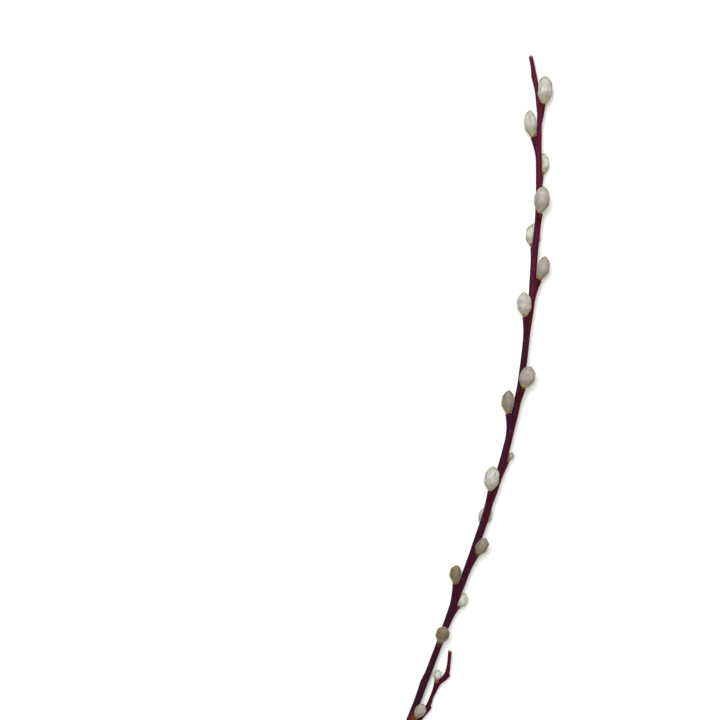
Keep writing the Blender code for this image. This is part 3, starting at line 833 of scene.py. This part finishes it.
    # Some hairs are single, most are flat locks of several
    trim = addNode(tree, "GeometryNodeInputNamedAttribute", {"Name": "trim"}, data_type="FLOAT").outputs["Attribute"]
    chosen = addNode(tree, "FunctionNodeRandomValue", {2: 0.55, 3: 1.12, "Seed": given["Seed"]}, data_type="FLOAT")
    long = addNode(tree, "ShaderNodeMath", {0: chosen.outputs[1], 1: trim}, operation="MULTIPLY").outputs[0]
    wide = addNode(tree, "FunctionNodeRandomValue", {2: 0.7, 3: 2.2, "Seed": 77}, data_type="FLOAT")
    lock = addNode(tree, "ShaderNodeCombineXYZ", {0: long, 1: wide.outputs[1], 2: long})
    placed = addNode(tree, "GeometryNodeInstanceOnPoints",
                     {"Points": toned.outputs[0], "Instance": hair.outputs[0], "Rotation": turned.outputs[0],
                      "Scale": lock.outputs[0]})
    joined = addNode(tree, "GeometryNodeJoinGeometry", {"Geometry": [given["Geometry"], placed.outputs[0]]})
    real = addNode(tree, "GeometryNodeRealizeInstances", {"Geometry": joined.outputs[0]})
    painted = addNode(tree, "GeometryNodeSetMaterial", {"Geometry": real.outputs[0], "Material": given["Material"]})
    addNode(tree, "NodeGroupOutput", {"Geometry": painted.outputs[0]})
    return tree


def silkCore(seat, number, material):
    # The head under the hairs: an uneven egg, thinner toward the stem
    form = catkinForm
    rings, sides = form["coreRings"], form["coreSides"]
    chance = random.Random(number)
    shift = Vector((chance.random() * 40, chance.random() * 40, 0))
    points, up, room, trim = [], [], [], []
    start = form["outline"][0][0]
    for i in range(rings):
        part = start + (1 - start) * i / (rings - 1)
        outline = max(0.05, curveValue(form["outline"], part))
        size = max(0.25, seat.width / 2 * outline - form["coat"] * smoothStep(-0.1, 0.2, part))
        centre = seat.base + seat.axis * (seat.length - form["tipCoat"] * seat.small) * part
        for k in range(sides):
            angle = -2 * math.pi * k / sides
            lump = noise.noise(Vector((math.cos(angle) * 1.7, math.sin(angle) * 1.7, part * 3.5)) + shift)
            here = size + form["lumps"] * lump * outline
            wide, deep = here * math.cos(angle), here * math.sin(angle)
            if deep < 0:
                deep *= form["inner"]
            point = centre + seat.side * wide + seat.out * deep
            free = seat.clearance(point)[1]
            if free < form["barkGap"] and part > 0:
                point = seat.clear(point, seat.out, form["barkGap"])
            points.append(point)
            up.append(part)
            lie = smoothStep(0.4, 1.6, free) * smoothStep(-0.2, 0.9, point.z)
            room.append(0.12 + 0.88 * lie)
            # Shorter hairs round off the tip
            trim.append(1 - 0.74 * smoothStep(0.4, 0.97, part))
    flows = []
    for i in range(rings):
        for k in range(sides):
            low, high = max(i - 1, 0) * sides + k, min(i + 1, rings - 1) * sides + k
            flow = (points[high] - points[low]).normalized()
            flows.append(flow.lerp(seat.axis, 0.5 * smoothStep(0.8, 1.0, up[low])).normalized())
    faces = tubeFaces(0, rings, sides)
    for ring, flip, beyond in ((0, True, 0), (rings - 1, False, 0.25)):
        corner = ring * sides
        middle = sum((points[corner + k] for k in range(sides)), Vector()) / sides + seat.axis * beyond
        points.append(middle)
        up.append(up[corner])
        room.append(room[corner])
        trim.append(trim[corner])
        flows.append(seat.axis)
        for k in range(sides):
            a, b = corner + k, corner + (k + 1) % sides
            faces.append((b, a, len(points) - 1) if flip else (a, b, len(points) - 1))
    core = meshPiece(f"catkinSilk{number:02d}", points, faces, [material])
    setAttribute(core.data, "flow", "FLOAT_VECTOR", flows)
    setAttribute(core.data, "headNormal", "FLOAT_VECTOR", [vertex.normal.copy() for vertex in core.data.vertices])
    setAttribute(core.data, "room", "FLOAT", room)
    setAttribute(core.data, "trim", "FLOAT", trim)
    setAttribute(core.data, "catkinUp", "FLOAT", up)
    setAttribute(core.data, "catkinTone", "FLOAT", [silkLook["tones"][number - 1]] * len(points))
    return core


def softenNormals(mesh):
    # Hairs are lit largely as the head under them, so that they read as one soft coat
    own, head = (np.empty(len(mesh.vertices) * 3, "f") for _ in range(2))
    mesh.vertices.foreach_get("normal", own)
    mesh.attributes["headNormal"].data.foreach_get("vector", head)
    mixed = (own * (1 - silkLook["headShare"]) + head * silkLook["headShare"]).reshape(-1, 3)
    mixed /= np.maximum(np.linalg.norm(mixed, axis=1, keepdims=True), 1e-6)
    mesh.normals_split_custom_set_from_vertices(mixed)


def buildCatkin(seat, number, tree, material):
    core = silkCore(seat, number, material)
    values = {
        "Density": silkLook["hairsPerSquareMm"] * 1e6 * 1.0,
        "Hair length": silkLook["hairLength"] * mm * seat.small ** 1.3,
        "Hair width": silkLook["hairWidth"] * mm,
        "Lift": silkLook["lift"],
        "Bend": silkLook["bend"],
        "Spread": silkLook["spread"],
        "Clump spacing": silkLook["clumpSpacing"] * mm,
        "Clump pull": silkLook["clumpPull"],
        "Seed": number,
        "Material": material,
    }
    mesh = growNodes(core, tree, values)
    for vertex in mesh.vertices:
        vertex.co.z = max(0.0, vertex.co.z)
    softenNormals(mesh)
    for spare in ("flow", "headNormal", "room", "trim"):
        mesh.attributes.remove(mesh.attributes[spare])
    mesh.name = core.name
    core.data = mesh
    return core


collarLook = {
    "sides": 28,
    "sunk": 0.55,
    "wall": 0.28,
    "lobes": 4,
    "height": 1.9,
    "lobeHeight": 0.6,
    "rimShare": 0.82,  # of the silk's own width there, so that the silk hangs over the rim
    "foot": "#561a12",
    "middle": "#845012",
    "rim": "#806e28",
    "edge": "#4c3a1e",
    "dim": "#421510",
    # How much of the scale has dried to the colour of the bark, in the catkins' order
    "dryness": (0.55, 0.7, 0.95, 0.3, 0.85, 0.5, 0.25, 0.45, 0.2, 0.45, 0.15, 0.1, 0.5, 0.05, 0.3, 0.1, 0.0, 0.5),
}


def budScale():
    # Bud-scale remains: thin, leathery and a little glossy, orange below and dry and olive at the rim
    material = emptyMaterial("willowBudScale")
    tree = material.node_tree
    up = addNode(tree, "ShaderNodeAttribute", attribute_name="collarUp").outputs["Fac"]
    tone = addNode(tree, "ShaderNodeAttribute", attribute_name="collarTone").outputs["Fac"]
    place = addNode(tree, "ShaderNodeTexCoord").outputs["Object"]
    mottle = addNode(tree, "ShaderNodeTexNoise", {"Vector": place, "Scale": 1300, "Detail": 3}).outputs[0]
    uneven = addNode(tree, "ShaderNodeMath", {0: mottle, 1: 0.5, 2: up}, operation="MULTIPLY_ADD").outputs[0]
    colour = addNode(tree, "ShaderNodeRGB")
    colour.outputs[0].default_value = linearColour(collarLook["foot"])
    colour = colour.outputs[0]
    for name, driver, low, high, strength in (("middle", uneven, 0.3, 0.6, 1.0), ("rim", uneven, 0.65, 1.05, 0.9),
                                              ("edge", uneven, 1.15, 1.4, 0.8), ("dim", tone, 0.0, 1.0, 1.0)):
        factor = addNode(tree, "ShaderNodeMapRange",
                         {"Value": driver, "From Min": low, "From Max": high, "To Max": strength})
        colour = addNode(tree, "ShaderNodeMix",
                         {0: factor.outputs[0], 6: colour, 7: linearColour(collarLook[name])},
                         data_type="RGBA").outputs[2]
    bump = addNode(tree, "ShaderNodeBump", {"Strength": 0.6, "Distance": 0.0001, "Height": mottle})
    shader = addNode(tree, "ShaderNodeBsdfPrincipled",
                     {"Base Color": colour, "Roughness": 0.58, "IOR": 1.45, "Specular IOR Level": 0.3,
                      "Normal": bump.outputs[0]})
    addNode(tree, "ShaderNodeOutputMaterial", {"Surface": shader.outputs[0]})
    return material


def buildCollar(seat, number, material):
    # A short cup that grows out of the cushion, with the scale's torn lobes around the silk
    look, form = collarLook, catkinForm
    chance = random.Random(100 + number)
    sides = look["sides"]
    rim = curveValue(form["outline"], 0) * 0.5 * seat.width * look["rimShare"]
    foot = min(form["collarRadius"], rim) * 0.86
    phase = chance.random() * 360
    heights = [chance.uniform(0.2, 1.0) * look["lobeHeight"] for _ in range(look["lobes"])]
    toneHere = look["dryness"][number - 1]
    # Each level: way up, radius, 1 for the outer wall and 0 for the inner one
    levels = [(-0.15, 0.0, foot * 0.8), (0.0, 0.0, foot), (0.18, 0.18, foot * 1.08), (0.4, 0.4, foot + (rim - foot) * 0.35),
              (0.62, 0.62, foot + (rim - foot) * 0.62), (0.82, 0.82, foot + (rim - foot) * 0.86), (1.0, 1.0, rim),
              (1.12, 1.12, rim * 1.03), (1.1, 1.1, rim - look["wall"] * 0.6), (0.8, 0.8, rim - look["wall"] * 1.3),
              (0.55, 0.5, rim * 0.6)]
    points, up = [], []
    for row, (part, mark, radius) in enumerate(levels):
        for k in range(sides):
            angle = -2 * math.pi * k / sides
            lobe = ((math.degrees(angle) + phase) % 360) / 360 * look["lobes"]
            which, across = int(lobe) % look["lobes"], lobe - int(lobe)
            lift = heights[which] * math.sin(math.pi * across) ** 0.7
            rib = 1 + 0.03 * math.sin(angle * 9 + number)
            high = look["height"] * seat.small ** 0.5 * part + (lift * smoothStep(0.4, 1.1, part) if part > 0.4 else 0)
            direction = seat.slope.lerp(seat.out, min(1, max(0, part) * 2)).normalized()
            flat = 1.0 if part > 0.2 else min(1.0, (seat.reach + 0.2) / foot) + (1 - min(1.0, seat.reach / foot)) * max(0, part) * 3
            point = seat.foot - seat.up * look["sunk"] + seat.axis * (high + look["sunk"] * max(0, min(1, part)))
            point += seat.side * math.cos(angle) * radius * rib + direction * math.sin(angle) * radius * rib * flat
            if part > 0.3:
                point = seat.clear(point, direction, 0.12) if math.sin(angle) < 0.3 else point
            points.append(point)
            up.append(max(0.0, mark) + (0.1 * lift if part > 0.9 else 0))
    faces = tubeFaces(0, len(levels), sides)
    for ring, flip in ((0, True), (len(levels) - 1, False)):
        corner = ring * sides
        points.append(sum((points[corner + k] for k in range(sides)), Vector()) / sides)
        up.append(up[corner])
        for k in range(sides):
            a, b = corner + k, corner + (k + 1) % sides
            faces.append((b, a, len(points) - 1) if flip else (a, b, len(points) - 1))
    collar = meshPiece(f"budCollar{number:02d}", points, faces, [material])
    setAttribute(collar.data, "collarUp", "FLOAT", up)
    setAttribute(collar.data, "collarTone", "FLOAT", [toneHere] * len(points))
    return collar


silk = willowSilk()
scale = budScale()
coat = coatTree()
number = 0
triangles = 0
for wood in (rod, shoot):
    for catkin in wood.form["catkins"]:
        number += 1
        seat = Seat(wood, catkin)
        head = buildCatkin(seat, number, coat, silk)
        collar = buildCollar(seat, number, scale)
        for piece, slotName, node in ((head, "silk", f"catkin_{number:02d}"), (collar, "bud_scale", f"collar_{number:02d}")):
            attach(piece, "root")
            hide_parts(node)
        head.data.calc_loop_triangles()
        triangles += len(head.data.loop_triangles)
print("catkins:", number, "heads,", triangles, "triangles")
